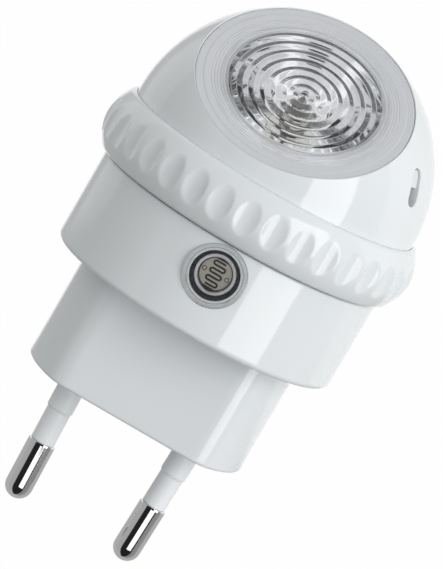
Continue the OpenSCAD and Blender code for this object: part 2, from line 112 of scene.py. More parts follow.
# Pins and sleeves, in the frame of a leaning pin
PIN_GAP = 18.5
PIN_TIP_GAP = 17.3
PIN_LEN = 19.5
PIN_BARE = 9.0
PIN_R = 2.0
PIN_CHAMFER = 0.18
CHAMFER_BEND = 0.05
SHANK_R = 1.3
SLEEVE_R = 1.75
SLEEVE_ROOT_R = 1.925
SLEEVE_ROOT_LEN = 5.2
SLEEVE_STEP = 0.35
HEAD_LIP = 1.0
RIVET_R = 2.9
RIVET_START = 38

# Body
BODY_EDGE = 0.75
BODY_FLOOR = 2.0
SHOULDER_Z = 30.0
SHOULDER_EDGE = 0.35
NECK_R = 20.55
DECK_T = 2.0
HUB_BORE = 8.95
GROOVE_OUT = 18.75
GROOVE_IN = 16.55
GROOVE_DEPTH = 1.0
STOP_AT = -90
STOP_ANGLE = 10.0
BOARD_SCREW = (15.85, 5.6)
SCREW_R = 1.0
SCREW_SKIN = 0.4

# Light sensor, along its own axis from the plug axis outwards
SENSOR_Z = 25.4
SEAT_Y = 21.0
WINDOW_R = 4.4
WINDOW_T = 0.7
# Heights of the cap's crown over its flange: in the middle, over the painted shade ring, and at the
# edge
CAP_CROWN = (0.08, 0.03, -0.05)
BARREL_IN = 3.45
BARREL_OUT = 3.8
BARREL_FOOT = 18.95
BARREL_CUT = 1.5
# A black ring of painted shade in the gap round the collar: its inner and outer radius
SHADE_RING_IN = 3.02
SHADE_RING_OUT = 3.32
COLLAR_IN = 2.65
COLLAR_OUT = 2.95
COLLAR_RIM = 0.8
COLLAR_LIP = 2.3
LIP_SLOPE = 0.1
LIP_GAP = 0.12
CELL_R = 2.6
CELL_BACK = 17.4
CELL_FACE = 19.4

# Meander track on the cell: strokes run across the plug axis and are stacked along it
TRACK_W = 0.27
TRACK_H = 0.05
TRACK_SUNK = 0.02
TRACK_R = CELL_R - 0.2
# Inner edge of a ring of painted shade at the collar's lip, which reaches out to TRACK_R
LIP_SHADE_R = COLLAR_LIP - 0.12
STROKE_GAP = 0.56
STROKE_HALF = 0.95
STROKES = 7
LEAD_AT = 1.7
LEAD_R = 0.33
LEAD_WALL = 0.1

# Grip ring
RING_EDGE_R = 22.4
RING_BULGE = 1.6
RING_BORE = 20.9
RING_LEDGE_R = 18.6
RING_LEDGE_Z = 35.6
RING_ROUND = 0.42
RING_ROWS = 34
SCOOPS = 36
SCOOP_R = 3.2
SCOOP_DEPTH = 0.55
SCOOP_COLUMNS = 26
SCOOP_SOFT = 0.09

# Turning head, about the head's centre
REST_TURN = 10.4
HEAD_Z = HEAD_LOW + 1.6
HEAD_WALL = 1.8
DOME_STEPS = 96
DOME_INNER_STEPS = 60
LENS_TILT = 38.6
CATCH_TURN = 71.8
CATCH_RISE = 22.0
CATCH_W = 2.4
CATCH_H = 5.3
CATCH_EDGE = 0.25
CATCH_DEPTH = 2.5 * HEAD_WALL
CATCH_FLARE = 0.8
CATCH_OVER = 0.25
CATCH_PAST = 1.5
CATCH_SIDES = 14
CATCH_ENDS = 12

# Lens, along its own axis
LENS_R = 15.361
LENS_FRONT = 15.2186
LENS_BACK = 13.4186
LENS_EDGE = 0.2
LENS_FIELD = 12.601
CLEAR_R = 10.8
LENS_RIBS = 8
RIB_H = 0.45
RIB_ROUND = 0.2
RIM_RINGS = 6
RIM_PITCH = 0.4
# The lens's milky front: the ring from which each finish starts, and how clear that finish is
RIM_HAZE = ((0, 0.6), (1, 0.42), (3, 0.25))
RIM_GROOVE = 0.05
RIM_GROOVE_HALF = 0.08
RIM_STEP = 14.2
RIM_STEP_LEAD = 0.2
RIM_STEP_RUN = 0.1
RIM_DROP = 0.06
SEAT_IN = 13.861
SEAT_T = 1.2
POCKET_EDGE = 0.28
# Where the pocket's softened edge passes, outwards and upwards from the pocket's rim
POCKET_BEND = ((0.03, -0.15), (0.1, -0.1))

# Places
IN_SOCKET = Matrix.Rotation(math.radians(90), 4, "X")
HEAD_POSE = IN_SOCKET @ Matrix.Rotation(math.radians(-REST_TURN), 4, "Z")
ON_SENSOR = (IN_SOCKET @ Matrix.Translation((0, 0, SENSOR_Z))
             @ Matrix.Rotation(math.radians(-90), 4, "X"))
ON_LENS = (HEAD_POSE @ Matrix.Translation((0, 0, HEAD_Z))
           @ Matrix.Rotation(math.radians(-LENS_TILT), 4, "X"))
ALONG_PLUG = Vector((0, -1, 0))


# ---------------------------------------------------------------- mesh helpers

def finish_mesh(mesh, crease=CREASE):
    """Turns all faces outwards and shades them smooth up to the crease angle."""
    work = bmesh.new()
    work.from_mesh(mesh)
    bmesh.ops.recalc_face_normals(work, faces=work.faces)
    work.to_mesh(mesh)
    work.free()
    mesh.shade_smooth()
    mesh.set_sharp_from_angle(angle=crease)


def solid(name, verts, faces, place, crease=CREASE):
    """A mesh object from points in millimetres, placed in the frame in metres."""
    move = Matrix.Scale(MM, 4) @ place
    mesh = bpy.data.meshes.new(name)
    mesh.from_pydata([move @ Vector(v) for v in verts], [], faces)
    finish_mesh(mesh, crease)
    piece = bpy.data.objects.new(name, mesh)
    bpy.context.scene.collection.objects.link(piece)
    return piece


def bridge(rings):
    """Faces between neighbouring rings of point numbers, without the collapsed ones."""
    faces = []
    for one, two in rings:
        count = len(one)
        for k in range(count):
            after = (k + 1) % count
            face = list(dict.fromkeys((one[k], one[after], two[after], two[k])))
            if len(face) > 2:
                faces.append(face)
    return faces


def held(outline):
    """The closed outline with extra points near the ends of its long sides.

    They keep the smooth shading of a fillet from spreading over the flat face beside it.
    """
    points = []
    for i, here in enumerate(outline):
        one, two = Vector(here), Vector(outline[(i + 1) % len(outline)])
        points.append(here)
        if (two - one).length > LONG_SIDE:
            step = (two - one).normalized() * HOLD
            points += [tuple(one + step), tuple(two - step)]
    return points


def lathe(name, profile, place, steps=ROUND_STEPS, crease=CREASE):
    """A solid turned about local Z from its closed half section of (r, z) points."""
    verts, rings = [], []
    for r, z in held(profile):
        if r < TINY:
            rings.append([len(verts)] * steps)
            verts.append((0, 0, z))
            continue
        rings.append(list(range(len(verts), len(verts) + steps)))
        for k in range(steps):
            turn = math.tau * k / steps
            verts.append((r * math.cos(turn), r * math.sin(turn), z))
    pairs = zip(rings, rings[1:] + rings[:1])
    return solid(name, verts, bridge(pairs), place, crease)


def loft(name, loops, place, closed=False):
    """A solid through loops of equally many points, capped at its ends or closed into a ring."""
    count = len(loops[0])
    verts = [point for loop in loops for point in loop]
    rings = [list(range(i * count, (i + 1) * count)) for i in range(len(loops))]
    pairs = list(zip(rings, rings[1:]))
    if closed:
        return solid(name, verts, bridge(pairs + [(rings[-1], rings[0])]), place)
    return solid(name, verts, bridge(pairs) + [rings[0], rings[-1]], place)


def carve(piece, *cutters):
    """Cuts the cutters out of a piece and removes them."""
    for cutter in cutters:
        change = piece.modifiers.new("cut", "BOOLEAN")
        change.operation = "DIFFERENCE"
        change.solver = "EXACT"
        change.object = cutter
    drawn = piece.evaluated_get(bpy.context.evaluated_depsgraph_get())
    mesh = bpy.data.meshes.new_from_object(drawn)
    piece.modifiers.clear()
    piece.data = mesh
    mesh.name = piece.name
    for cutter in cutters:
        bpy.data.objects.remove(cutter)
    finish_mesh(mesh)
    return piece


def merge(name, *pieces):
    """Joins pieces into the first one, as separate shells of one object."""
    work = bmesh.new()
    for piece in pieces:
        work.from_mesh(piece.data)
    kept = pieces[0]
    work.to_mesh(kept.data)
    work.free()
    for piece in pieces[1:]:
        bpy.data.objects.remove(piece)
    kept.name = name
    finish_mesh(kept.data)
    return kept


def arc(cx, cz, r, start, end, steps):
    """Points of an arc from one angle to another, in degrees, with both ends."""
    angles = [math.radians(start + (end - start) * k / steps) for k in range(steps + 1)]
    return [(cx + r * math.cos(a), cz + r * math.sin(a)) for a in angles]


def rounded(corners, steps=5):
    """A closed outline through (r, z, fillet) corners, with each fillet as an arc."""
    points = []
    for i, (r, z, fillet) in enumerate(corners):
        here = Vector((r, z))
        if not fillet:
            points.append((r, z))
            continue
        before = (Vector(corners[i - 1][:2]) - here).normalized()
        after = (Vector(corners[(i + 1) % len(corners)][:2]) - here).normalized()
        half = before.angle(after) / 2
        centre = here + (before + after).normalized() * (fillet / math.sin(half))
        start = here + before * (fillet / math.tan(half)) - centre
        end = here + after * (fillet / math.tan(half)) - centre
        turn = start.angle_signed(end)
        for k in range(steps + 1):
            spoke = Matrix.Rotation(-turn * k / steps, 2) @ start
            points.append(tuple(centre + spoke))
    return points


def rod(r, low, high, place, steps=CUTTER_STEPS):
    """A plain round cutter."""
    return lathe("cutter", [(0, low), (r, low), (r, high), (0, high)], place, steps)


# ---------------------------------------------------------------- housing

def base_outline(inset, z):
    """Loop of the plug base: a circle with two flats and rounded corners."""
    r, corner = BASE_R - inset, BASE_CORNER - inset
    y = BASE_FLAT - BASE_CORNER
    x = math.sqrt((BASE_R - BASE_CORNER) ** 2 - y * y)
    turn = math.degrees(math.atan2(y, x))
    shares = ([HOLD / x / 2] + [k / FLAT_STEPS for k in range(1, FLAT_STEPS)]
              + [1 - HOLD / x / 2])
    flat = [(x - 2 * x * share, BASE_FLAT - inset) for share in shares]
    back = [(-px, -py) for px, py in flat]
    outline = (arc(0, 0, r, -turn, turn, SIDE_STEPS)[:-1]
               + arc(x, y, corner, turn, 90, CORNER_STEPS) + flat
               + arc(-x, y, corner, 90, 180 - turn, CORNER_STEPS)[:-1]
               + arc(0, 0, r, 180 - turn, 180 + turn, SIDE_STEPS)[:-1]
               + arc(-x, -y, corner, 180 + turn, 270, CORNER_STEPS) + back
               + arc(x, -y, corner, 270, 360 - turn, CORNER_STEPS)[:-1])
    return [(px, py, z) for px, py in outline]


def circle_of(loop, r, z):
    """The loop's points moved out to a circle, at height z."""
    return [tuple(Vector((x, y)).normalized() * r) + (z,) for x, y, _ in loop]


def on_pin(side):
    """Frame of a pin, which leans towards the other one."""
    lean = side * math.atan((PIN_GAP - PIN_TIP_GAP) / 2 / PIN_LEN)
    return (IN_SOCKET @ Matrix.Translation((side * PIN_GAP / 2, 0, 0))
            @ Matrix.Rotation(lean, 4, "Y"))


def at_board_screw(side):
    """Frame of a board screw."""
    return IN_SOCKET @ Matrix.Translation((side * BOARD_SCREW[0], side * BOARD_SCREW[1], 0))


def make_base():
    """The hollow block of the plug, with a filleted lower edge and the flange inside the body."""
    floor_top = BODY_LOW + BODY_FLOOR
    edge = [math.radians(a) for a in range(0, 91, 15)]
    loops = [base_outline(BASE_EDGE * (1 - math.sin(a)), BASE_EDGE * (1 - math.cos(a)))
             for a in edge]
    loops.append(base_outline(0, BASE_EDGE + HOLD))
    wall = base_outline(0, floor_top)
    loops += [wall, circle_of(wall, FLANGE_R, floor_top), circle_of(wall, FLANGE_R, BASE_TOP)]
    loops += [base_outline(WALL, BASE_TOP), base_outline(WALL, BASE_FLOOR)]
    base = loft("plug_base_shell", loops, IN_SOCKET)
    cutters = []
    for side in (-1, 1):
        cutters.append(rod(SLEEVE_ROOT_R + FIT, -CUT, BASE_FLOOR + CUT, on_pin(side)))
        cutters.append(rod(SCREW_R + RUN, floor_top - CUT, BASE_TOP + CUT, at_board_screw(side),
                           HOLE_STEPS))
    return carve(base, *cutters)


def make_pin(name, side):
    """A pin with a round tip, a chamfered shoulder, its shank and the domed rivet head."""
    tip = arc(0, PIN_R - PIN_LEN, PIN_R, -90, 0, 14)
    shoulder = PIN_BARE - PIN_LEN
    top = BASE_FLOOR + 2 * HEAD_LIP
    rivet = arc(0, top - RIVET_R, RIVET_R, RIVET_START, 90, 6)
    profile = tip + [(PIN_R, shoulder - PIN_CHAMFER),
                     (PIN_R - CHAMFER_BEND, shoulder - CHAMFER_BEND),
                     (PIN_R - PIN_CHAMFER, shoulder), (SHANK_R, shoulder),
                     (SHANK_R, top - HEAD_LIP), (SHANK_R + HEAD_LIP, top - HEAD_LIP)] + rivet
    return lathe(name, profile, on_pin(side), PIN_STEPS)


def make_sleeve(name, side):
    """An insulating sleeve: the slim part, the rounded step, the root and the flange inside."""
    foot = PIN_BARE - PIN_LEN
    corners = [(SHANK_R + RUN, foot, 0), (SLEEVE_R, foot, 0.12),
               (SLEEVE_R, -SLEEVE_ROOT_LEN - SLEEVE_STEP, 0.3),
               (SLEEVE_ROOT_R, -SLEEVE_ROOT_LEN, 0.3),
               (SLEEVE_ROOT_R, BASE_FLOOR, 0), (SLEEVE_ROOT_R + HEAD_LIP, BASE_FLOOR, 0.1),
               (SLEEVE_ROOT_R + HEAD_LIP, BASE_FLOOR + HEAD_LIP, 0.15),
               (SHANK_R + RUN, BASE_FLOOR + HEAD_LIP, 0)]
    return lathe(name, rounded(corners), on_pin(side), PIN_STEPS)


def make_body():
    """The plain round body: rounded edges, the neck, the groove, the deck and the sensor's seat."""
    deck_low, floor_top = BODY_TOP - DECK_T, BODY_LOW + BODY_FLOOR
    groove = BODY_TOP - GROOVE_DEPTH
    corners = [(0, BODY_LOW, 0), (BODY_R, BODY_LOW, BODY_EDGE),
               (BODY_R, SHOULDER_Z, SHOULDER_EDGE), (NECK_R, SHOULDER_Z, 0.15),
               (NECK_R, BODY_TOP, 0.25), (GROOVE_OUT, BODY_TOP, 0.1), (GROOVE_OUT, groove, 0),
               (GROOVE_IN, groove, 0), (GROOVE_IN, BODY_TOP, 0.1), (HUB_BORE, BODY_TOP, 0.15),
               (HUB_BORE, deck_low, 0.15), (BARREL_FOOT, deck_low, 0.3),
               (BARREL_FOOT, floor_top, 0.3), (0, floor_top, 0)]
    body = lathe("body_can", rounded(corners, 6), IN_SOCKET, 2 * ROUND_STEPS)
    opening = loft("cutter", [base_outline(-FIT, BODY_LOW - CUT),
                              base_outline(-FIT, floor_top + CUT)], IN_SOCKET)
    cutters = [opening, rod(WINDOW_R + FIT, SEAT_Y, BODY_R + 2 * CUT, ON_SENSOR, SENSOR_STEPS),
               rod(BARREL_OUT + RUN, BARREL_FOOT - BARREL_CUT, BODY_R, ON_SENSOR, SENSOR_STEPS)]
    for side in (-1, 1):
        cutters.append(rod(SCREW_R + RUN, BODY_LOW + SCREW_SKIN, floor_top + CUT,
                           at_board_screw(side), HOLE_STEPS))
    return merge("body_can", carve(body, *cutters), make_stop())


def make_stop():
    """The stop that interrupts the groove on the side away from the sensor."""
    low, high = BODY_TOP - GROOVE_DEPTH, BODY_TOP
    turns = [STOP_AT - STOP_ANGLE / 2, STOP_AT + STOP_ANGLE / 2]
    inner = arc(0, 0, GROOVE_IN - RUN, turns[0], turns[1], 8)
    outer = arc(0, 0, GROOVE_OUT + RUN, turns[1], turns[0], 8)
    loops = [[(x, y, z) for x, y in inner + outer] for z in (low - RUN, high)]
    return loft("stop", loops, IN_SOCKET)


# ---------------------------------------------------------------- light sensor

def make_window():
    """The clear cap: a slightly crowned flange that closes the seat."""
    face, seat = SEAT_Y + WINDOW_T, SEAT_Y + SEATED
    middle, ring, rim = (face + crown for crown in CAP_CROWN)
    corners = [(0, middle, 0), (SHADE_RING_IN, ring, 0.8), (WINDOW_R, rim, 0.22),
               (WINDOW_R, seat, 0.1), (0, seat, 0)]
    return lathe("sensor_cap", rounded(corners), ON_SENSOR, CAP_STEPS)


def make_barrel():
    """The frosted barrel of the clear cap, through the wall."""
    corners = [(BARREL_OUT, SEAT_Y, 0.04), (BARREL_OUT, BARREL_FOOT, 0.08),
               (BARREL_IN, BARREL_FOOT, 0.08), (BARREL_IN, SEAT_Y, 0.04)]
    return lathe("sensor_cap_barrel", rounded(corners), ON_SENSOR, CAP_STEPS)


def make_shade_ring():
    """A black ring inside the barrel, painted shade of the gap round the sensor's collar."""
    top = SEAT_Y - FIT
    corners = [(SHADE_RING_IN, BARREL_FOOT, 0.06), (SHADE_RING_OUT, BARREL_FOOT, 0.06),
               (SHADE_RING_OUT, top, 0.12), (SHADE_RING_IN, top, 0.12)]
    return lathe("sensor_shade_ring", rounded(corners), ON_SENSOR, SENSOR_STEPS)


def make_collar():
    """The grey metal rim of the light-dependent resistor, rolled in over the disc's edge."""
    top, under = CELL_FACE + COLLAR_RIM, CELL_FACE + LIP_GAP
    corners = [(COLLAR_IN, CELL_BACK, 0.05), (COLLAR_OUT, CELL_BACK, 0.05), (COLLAR_OUT, top, 0.16),
               (COLLAR_LIP + LIP_SLOPE, top - LIP_SLOPE, 0.12), (COLLAR_LIP, under, 0.05),
               (COLLAR_IN, under, 0)]
    return lathe("sensor_rim_ring", rounded(corners), ON_SENSOR, SENSOR_STEPS)


def make_cell():
    """The disc of the light-dependent resistor, with a rounded edge."""
    corners = [(0, CELL_BACK, 0), (CELL_R, CELL_BACK, 0.25), (CELL_R, CELL_FACE, 0.18),
               (0, CELL_FACE, 0)]
    return lathe("light_cell", rounded(corners), ON_SENSOR, SENSOR_STEPS)


def track_line():
    """Centre line of the meander, from the upper dark end to the lower one."""
    turn_r = STROKE_GAP / 2
    reach = STROKE_HALF - turn_r
    first = STROKE_GAP * (STROKES - 1) / 2
    line = []
    for i in range(STROKES):
        side = 1 if i % 2 else -1
        y = first - i * STROKE_GAP
        line += [(-side * reach, y), (side * reach, y)]
        if i < STROKES - 1:
            bend = arc(side * reach, y - turn_r, turn_r, 90, 90 - side * 180, 8)
            line += bend[1:-1]
    return line


def ribbon(name, line, width, low, high, place):
    """A flat track of one width along a line, with square ends."""
    left, right = [], []
    for i, point in enumerate(line):
        here = Vector(point)
        ahead = Vector(line[min(i + 1, len(line) - 1)]) - Vector(line[max(i - 1, 0)])
        side = Vector((-ahead.y, ahead.x)).normalized() * width / 2
        left.append(here + side)
        right.append(here - side)
    loops = []
    for a, b in zip(left, right):
        loops.append([(a.x, a.y, low), (a.x, a.y, high), (b.x, b.y, high), (b.x, b.y, low)])
    return loft(name, loops, place)


def segment(name, r, y, low, high, place):
    """A dark end field of the cell: the part of a disc beyond a chord at y."""
    end = math.degrees(math.asin(abs(y) / r))
    turns = (end, 180 - end) if y > 0 else (180 + end, 360 - end)
    outline = arc(0, 0, r, turns[0], turns[1], 24)
    return loft(name, [[(x, v, z) for x, v in outline] for z in (low, high)], place)


def make_track():
    """The dark meander, its two end fields, a ring of painted shade at the lip and the leads' rims.
    """
    low, high = CELL_FACE - TRACK_SUNK, CELL_FACE + TRACK_H
    upper = STROKE_GAP * STROKES / 2
    parts = [ribbon("track", track_line(), TRACK_W, low, high, ON_SENSOR)]
    # A dark ring of painted shade, where the gap under the collar's lip is shaded
    edge = [(LIP_SHADE_R, low, 0), (TRACK_R, low, 0), (TRACK_R, high, 0),
            (LIP_SHADE_R, high, 0.03)]
    parts.append(lathe("edge", rounded(edge, 3), ON_SENSOR, SENSOR_STEPS))
    for y in (-upper, upper):
        parts.append(segment("end", TRACK_R, y, low, high, ON_SENSOR))
    for side in (-1, 1):
        corners = [(LEAD_R - LEAD_WALL, low, 0), (LEAD_R, low, 0), (LEAD_R, high, 0.03),
                   (LEAD_R - LEAD_WALL, high, 0.03)]
        place = ON_SENSOR @ Matrix.Translation((side * LEAD_AT, 0, 0))
        parts.append(lathe("rim", rounded(corners, 3), place, HOLE_STEPS))
    return merge("light_cell_track_and_shade", *parts)


# ---------------------------------------------------------------- turning head

def soft_min(a, b, k):
    """The smaller of two values, blended over a width k."""
    near = max(k - abs(a - b), 0) / k
    return min(a, b) - near * near * k / 4


def barrel_points():
    """Outer (r, z) points of the grip ring from its lower to its upper edge."""
    middle, half = (RING_LOW + RING_TOP) / 2, (RING_TOP - RING_LOW) / 2
    top = RING_EDGE_R + RING_BULGE
    ends = [1 - RING_ROUND / half * (1 - math.sin(math.radians(a)))
            for a in (90, 75, 60, 45, 30, 15)]
    inner = 1 - RING_ROUND / half
    shares = ([-e for e in ends] + [inner * (2 * k / RING_ROWS - 1) for k in range(RING_ROWS + 1)]
              + ends[::-1])
    points = []
    for share in shares:
        left = half * (1 - abs(share))
        fade = max(RING_ROUND - left, 0)
        drop = RING_ROUND - math.sqrt(max(RING_ROUND ** 2 - fade ** 2, 0))
        points.append((top - RING_BULGE * share * share - drop, middle + share * half))
    return points


def make_ring():
    """The grip ring: a barrel with a row of scoops, and the ledge that holds the head."""
    outer = barrel_points()
    inner = [(HEAD_R + RUN, RING_TOP), (HEAD_R + RUN, HEAD_LOW), (RING_LEDGE_R, HEAD_LOW),
             (RING_LEDGE_R, RING_LEDGE_Z), (RING_BORE, RING_LEDGE_Z), (RING_BORE, RING_LOW)]
    centre = RING_EDGE_R + RING_BULGE + SCOOP_R - SCOOP_DEPTH
    columns = SCOOPS * SCOOP_COLUMNS
    loops = []
    for k in range(columns):
        turn = math.tau * k / columns
        off = math.tau / SCOOPS * ((k / SCOOP_COLUMNS + 0.5) % 1 - 0.5)
        deep = SCOOP_R ** 2 - (centre * math.sin(off)) ** 2
        scoop = centre * math.cos(off) - math.sqrt(max(deep, 0)) if deep > 0 else centre
        section = [(soft_min(r, scoop, SCOOP_SOFT), z) for r, z in outer] + inner
        loops.append([(r * math.cos(turn), r * math.sin(turn), z) for r, z in section])
    return loft("scalloped_ring", loops, HEAD_POSE, closed=True)


def slot_loop(grow, depth, height=None):
    """Loop of a catch window, grown by some width, on the head's surface or at a fixed height."""
    r, straight = CATCH_W / 2 + grow, (CATCH_H - CATCH_W) / 2
    right = [(r, -straight + 2 * straight * k / CATCH_SIDES) for k in range(CATCH_SIDES)]
    top = arc(0, straight, r, 0, 180, CATCH_ENDS)[:-1]
    left = [(-x, -y) for x, y in right]
    bottom = [(-x, -y) for x, y in top]
    loop = []
    for x, y in right + top + left + bottom:
        on_ball = math.sqrt(HEAD_R ** 2 - x * x - y * y) - depth
        loop.append((x, y, on_ball if height is None else height))
    return loop


def catch_cutter(turn):
    """A cutter that leaves a catch window with a rounded outer edge."""
    place = (HEAD_POSE @ Matrix.Rotation(math.radians(turn), 4, "Z")
             @ Matrix.Translation((0, 0, HEAD_Z))
             @ Matrix.Rotation(math.radians(CATCH_RISE - 90), 4, "X"))
    loops = [slot_loop(0, 0, HEAD_R - CATCH_DEPTH)]
    for a in (0, 16, 32, 48, 64, 78):
        angle = math.radians(a)
        loops.append(slot_loop(CATCH_EDGE * (1 - math.cos(angle)),
                               CATCH_EDGE * (1 - math.sin(angle))))
    loops.append(slot_loop(CATCH_EDGE + CATCH_FLARE, -CATCH_OVER))
    loops.append(slot_loop(CATCH_EDGE + CATCH_FLARE, 0, HEAD_R + CATCH_PAST))
    return loft("cutter", loops, place)


def make_dome():
    """The round head: a hollow ball with the lens's pocket and seat, cut off at the grip ring."""
    pocket = LENS_R + FIT
    rim = math.degrees(math.asin(pocket / HEAD_R))
    soften = math.degrees(POCKET_EDGE / HEAD_R)
    rim_z = HEAD_R * math.cos(math.radians(rim))
    edge = [(pocket, LENS_BACK), (pocket, rim_z - POCKET_EDGE)]
    edge += [(pocket + out, rim_z + up) for out, up in POCKET_BEND]
    outer = arc(0, 0, HEAD_R, 90 - rim - soften, -90, DOME_STEPS)
    inner_r = HEAD_R - HEAD_WALL
    seat_low = LENS_BACK - SEAT_T
    meet = math.degrees(math.asin(seat_low / inner_r))
    inner = arc(0, 0, inner_r, -90, meet, DOME_INNER_STEPS)
    dome = lathe("ball_head", edge + outer + inner + [(SEAT_IN, seat_low), (SEAT_IN, LENS_BACK)],
                 ON_LENS, 2 * ROUND_STEPS)
    low = rod(HEAD_R + 2 * CUT, HEAD_LOW - HEAD_R, HEAD_LOW, HEAD_POSE)
    return carve(dome, low, catch_cutter(CATCH_TURN), catch_cutter(CATCH_TURN + 180))


def make_lens():
    """The clear lens: smooth in front with fine rings round its field, and V-shaped ribs behind."""
    front = [(0, LENS_FRONT), (CLEAR_R, LENS_FRONT)]
    for k in range(1, RIM_RINGS + 1):
        r = CLEAR_R + k * RIM_PITCH
        front += [(r - RIM_GROOVE_HALF, LENS_FRONT), (r, LENS_FRONT - RIM_GROOVE),
                  (r + RIM_GROOVE_HALF, LENS_FRONT)]
    back, low, edge = LENS_BACK + SEATED, LENS_FRONT - RIM_DROP, LENS_R + FIT - SEATED
    rim = rounded([(RIM_STEP - RIM_STEP_LEAD, LENS_FRONT, 0), (RIM_STEP, LENS_FRONT, 0.08),
                   (RIM_STEP + RIM_STEP_RUN, low, 0.06), (edge, low, LENS_EDGE),
                   (edge, back, 0.1), (LENS_FIELD, back, 0)])
    half = LENS_FIELD / LENS_RIBS / 2
    ribs = [(k * half, back + (0 if k % 2 else RIB_H), RIB_ROUND) for k in range(1, 2 * LENS_RIBS)]
    ribs = rounded([(0, back + RIB_H, 0)] + ribs + [(LENS_FIELD, back + RIB_H, 0)], 3)
    return lathe("ribbed_lens", front + rim + ribs[::-1], ON_LENS, 2 * ROUND_STEPS, LENS_CREASE)


def finish_rim(lens):
    """Gives the lens's rim its milky finishes in front and its frosted finish behind."""
    for _, clearness in RIM_HAZE:
        lens.data.materials.append(rim_finish(clearness))
    lens.data.materials.append(frosted())
    axis = ON_LENS.to_3x3() @ Vector((0, 0, 1))
    centre = ON_LENS.to_translation() * MM
    starts = [(CLEAR_R + ring * RIM_PITCH) * MM for ring, _ in RIM_HAZE]
    for face in lens.data.polygons:
        spot = face.center - centre
        height = spot.dot(axis)
        away = (spot - axis * height).length
        if height > (LENS_BACK + LENS_FRONT) / 2 * MM:
            face.material_index = sum(away > start for start in starts)
        elif away > LENS_FIELD * MM:
            face.material_index = len(RIM_HAZE) + 1


# ---------------------------------------------------------------- materials

LENS_IOR = 1.49
# The milky rim: its colour, and how much brighter and rougher it gets with its clearness
HAZE = (0.765, 0.785, 0.815)
HAZE_LIFT = 0.2
HAZE_ROUGH = 0.4


class Graph:
    """Builds a shader out of nodes."""

    def __init__(self, tree):
        """A graph in a node tree."""
        self.tree = tree

    def link(self, source, target):
        """Links a socket to another."""
        self.tree.links.new(source, target)

    def node(self, kind, **values):
        """A new node; values are set on its sockets or, where there is none, on the node."""
        made = self.tree.nodes.new(kind)
        for key, value in values.items():
            if key in made.inputs:
                made.inputs[key].default_value = value
            else:
                setattr(made, key, value)
        return made

    def math(self, operation, *terms):
        """A sum, product or the like of sockets and numbers."""
        made = self.node("ShaderNodeMath", operation=operation)
        for target, term in zip(made.inputs, terms):
            self.feed(term, target)
        return made.outputs[0]

    def feed(self, term, target):
        """Links a socket, or sets a number."""
        if isinstance(term, (int, float)):
            target.default_value = term
        else:
            self.link(term, target)

    def blend(self, factor, one, two):
        """A tone between two tones, each a socket or a number."""
        mix = self.node("ShaderNodeMix")
        self.feed(factor, mix.inputs[0])
        self.feed(one, mix.inputs[2])
        self.feed(two, mix.inputs[3])
        return mix.outputs[0]

    def fade(self, value, low, high):
        """Runs smoothly from 0 to 1 as the value goes from low to high."""
        spread = self.node("ShaderNodeMapRange", interpolation_type="SMOOTHSTEP")
        spread.inputs["From Min"].default_value = low
        spread.inputs["From Max"].default_value = high
        self.feed(value, spread.inputs["Value"])
        return spread.outputs["Result"]

    def band(self, value, sides, soft):
        """1 between two sides and 0 beyond them, with soft edges."""
        one, two = (self.fade(value, side - soft, side + soft) for side in sides)
        return self.math("SUBTRACT", one, two)

    def steps(self, value, stops):
        """A tone that follows (place, tone) stops."""
        ramp = self.node("ShaderNodeValToRGB")
        marks = ramp.color_ramp.elements
        while len(marks) < len(stops):
            marks.new(0.5)
        for mark, (place, tone) in zip(marks, stops):
            mark.position = place
            mark.color = (tone, tone, tone, 1)
        self.feed(value, ramp.inputs["Fac"])
        return ramp.outputs["Color"]


class Finish(Graph):
    """Builds one procedural material on a Principled shader."""

    def __init__(self, name, colour, roughness, **sockets):
        """A new material; sockets are named with _ for a space."""
        self.material = bpy.data.materials.new(name)
        self.material.use_nodes = True
        super().__init__(self.material.node_tree)
        self.shader = self.tree.nodes["Principled BSDF"]
        self.shader.inputs["Base Color"].default_value = (*colour, 1)
        self.shader.inputs["Roughness"].default_value = roughness
        for socket, value in sockets.items():
            self.shader.inputs[socket.replace("_", " ")].default_value = value
        self.colour = colour

    def noise(self, scale, stretch=(1, 1, 1), detail=3.0):
        """Noise over the object's own position, with features of 1 / scale metres."""
        place = self.node("ShaderNodeTexCoord")
        mapping = self.node("ShaderNodeMapping", Scale=stretch)
        texture = self.node("ShaderNodeTexNoise", Scale=scale, Detail=detail)
        self.link(place.outputs["Object"], mapping.inputs["Vector"])
        self.link(mapping.outputs["Vector"], texture.inputs["Vector"])
        return texture.outputs["Fac"]

    def vary_colour(self, factor, other):
        """Mixes the base colour towards another one by a factor."""
        mix = self.node("ShaderNodeMix", data_type="RGBA")
        mix.inputs[6].default_value = (*self.colour, 1)
        mix.inputs[7].default_value = (*other, 1)
        self.link(factor, mix.inputs["Factor"])
        self.link(mix.outputs[2], self.shader.inputs["Base Color"])

    def vary_roughness(self, factor, low, high):
        """Lets the roughness run between two values with a factor."""
        spread = self.node("ShaderNodeMapRange")
        spread.inputs["To Min"].default_value = low
        spread.inputs["To Max"].default_value = high
        self.link(factor, spread.inputs["Value"])
        self.link(spread.outputs["Result"], self.shader.inputs["Roughness"])

    def bump(self, height, strength, distance):
        """Adds fine relief of some height in metres."""
        relief = self.node("ShaderNodeBump", Strength=strength, Distance=distance)
        self.link(height, relief.inputs["Height"])
        self.link(relief.outputs["Normal"], self.shader.inputs["Normal"])


def glossy_white():
    """The polished white plastic of the housing."""
    made = Finish("glossy_white", (0.825, 0.86, 0.875), 0.08, IOR=1.56)
    made.vary_colour(made.noise(90), (0.81, 0.845, 0.86))
    made.vary_roughness(made.noise(700), 0.05, 0.11)
    made.bump(made.noise(2600, detail=2.0), 0.05, 0.00001)
    return made.material


